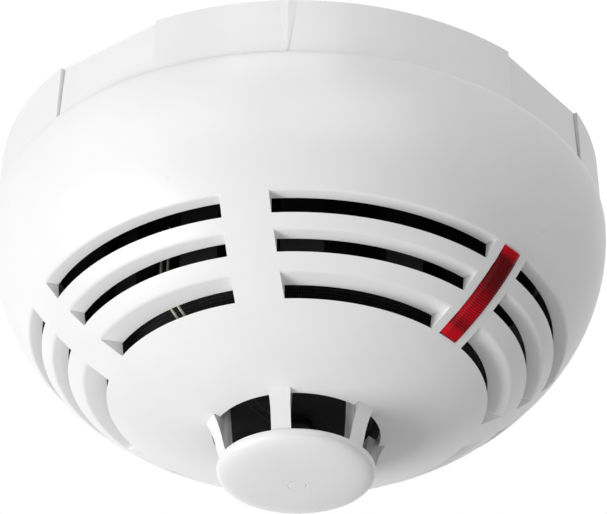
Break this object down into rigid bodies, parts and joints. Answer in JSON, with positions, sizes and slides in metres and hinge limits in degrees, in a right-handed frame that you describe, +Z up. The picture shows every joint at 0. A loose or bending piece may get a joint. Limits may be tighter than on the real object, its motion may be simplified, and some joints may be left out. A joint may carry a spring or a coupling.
{
  "type": "heat detector",
  "caption": "White ceiling heat detector: louvred domed head with a red light bar and a caged sensor nose, which twists into a screwed-up base.",
  "frame": {"origin": "centre of the base's ceiling face", "axes": "+Z up into the ceiling, the head hangs towards -Z, and -Y is the side with the alignment mark"},
  "size_m": [0.117, 0.117, 0.0653],
  "materials": {
    "cover": "satin white moulding",
    "base": "satin white moulding",
    "back": "plain white moulding",
    "black": "matt black moulding",
    "screen": "fine dark mesh",
    "lens": "clear red plastic",
    "led": "clear red plastic",
    "contact": "bright spring bronze",
    "steel": "zinc plated",
    "board": "green circuit board",
    "chip": "black epoxy",
    "can": "sleeved can",
    "bead": "glazed bead"
  },
  "bodies": {
    "base": {"base_shell": "base", "contact_spring_1": "contact", "contact_spring_2": "contact", "contact_spring_3": "contact", "contact_spring_4": "contact"},
    "clamp_1": {"terminal_clamp_1": "steel"},
    "clamp_2": {"terminal_clamp_2": "steel"},
    "clamp_3": {"terminal_clamp_3": "steel"},
    "clamp_4": {"terminal_clamp_4": "steel"},
    "screw_1": {"terminal_screw_1": "steel"},
    "screw_2": {"terminal_screw_2": "steel"},
    "screw_3": {"terminal_screw_3": "steel"},
    "screw_4": {"terminal_screw_4": "steel"},
    "head": {"outer_cover": "cover", "indicator_lens": "lens", "head_back": "back", "bayonet_ring": "back", "contact_blade_1": "contact", "contact_blade_2": "contact", "contact_blade_3": "contact", "contact_blade_4": "contact", "cover_screw_1": "steel", "cover_screw_2": "steel", "cover_screw_3": "steel", "circuit_board": "board", "control_chip": "chip", "loop_capacitor": "can", "indicator_led": "led", "vane_cage": "black", "baffle_core": "black", "insect_screen": "screen", "sensor_holder": "black", "thermistor_bead": "bead", "thermistor_lead_1": "steel", "thermistor_lead_2": "steel"}
  },
  "joints": [
    {"name": "head_twist", "type": "hinge", "parent": "base", "child": "head", "pos_m": [0, 0, 0], "axis": [0, 0, 1], "range_deg": [-25, 0]},
    {"name": "clamp_lift_1", "type": "slide", "parent": "base", "child": "clamp_1", "axis": [0, 0, -1], "range_m": [0, 0.0015]},
    {"name": "screw_turn_1", "type": "hinge", "parent": "clamp_1", "child": "screw_1", "pos_m": [0.01909, 0.02443, -0.0083], "axis": [0, 0, -1], "range_deg": [0, 1080]},
    {"name": "clamp_lift_2", "type": "slide", "parent": "base", "child": "clamp_2", "axis": [0, 0, -1], "range_m": [0, 0.0015]},
    {"name": "screw_turn_2", "type": "hinge", "parent": "clamp_2", "child": "screw_2", "pos_m": [-0.02443, 0.01909, -0.0083], "axis": [0, 0, -1], "range_deg": [0, 1080]},
    {"name": "clamp_lift_3", "type": "slide", "parent": "base", "child": "clamp_3", "axis": [0, 0, -1], "range_m": [0, 0.0015]},
    {"name": "screw_turn_3", "type": "hinge", "parent": "clamp_3", "child": "screw_3", "pos_m": [-0.01909, -0.02443, -0.0083], "axis": [0, 0, -1], "range_deg": [0, 1080]},
    {"name": "clamp_lift_4", "type": "slide", "parent": "base", "child": "clamp_4", "axis": [0, 0, -1], "range_m": [0, 0.0015]},
    {"name": "screw_turn_4", "type": "hinge", "parent": "clamp_4", "child": "screw_4", "pos_m": [0.02443, -0.01909, -0.0083], "axis": [0, 0, -1], "range_deg": [0, 1080]}
  ],
  "couplings": [
    {"joint": "screw_turn_1", "follows": "clamp_lift_1", "rad_per_m": 12566},
    {"joint": "screw_turn_2", "follows": "clamp_lift_2", "rad_per_m": 12566},
    {"joint": "screw_turn_3", "follows": "clamp_lift_3", "rad_per_m": 12566},
    {"joint": "screw_turn_4", "follows": "clamp_lift_4", "rad_per_m": 12566}
  ]
}
